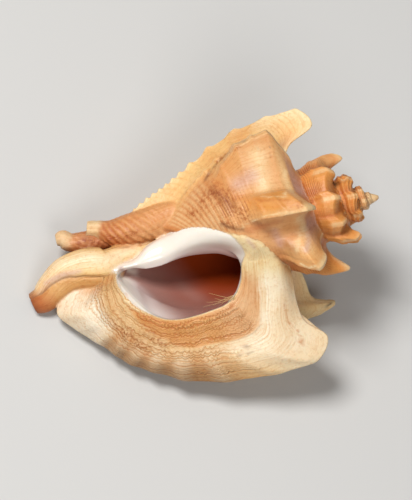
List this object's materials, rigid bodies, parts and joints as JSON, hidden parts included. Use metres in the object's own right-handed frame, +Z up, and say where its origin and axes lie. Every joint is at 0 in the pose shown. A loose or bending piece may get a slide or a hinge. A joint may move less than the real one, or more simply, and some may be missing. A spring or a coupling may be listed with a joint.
{
  "type": "asian oyster drill shell",
  "caption": "Spiny sea snail shell with flanged varices, a raised stepped spire, a glossy oval aperture and a closed siphonal canal, lying on its back.",
  "frame": {"origin": "centre of the footprint, on the surface that the shell lies on", "axes": "+Z up, +X towards the spire's tip, +Y across the shell away from the outer lip; the aperture faces up and towards -X and -Y"},
  "size_m": [0.0416, 0.031, 0.0257],
  "materials": {
    "shell": "chalky, worn"
  },
  "bodies": {
    "root": {"shell": "shell"}
  },
  "joints": []
}
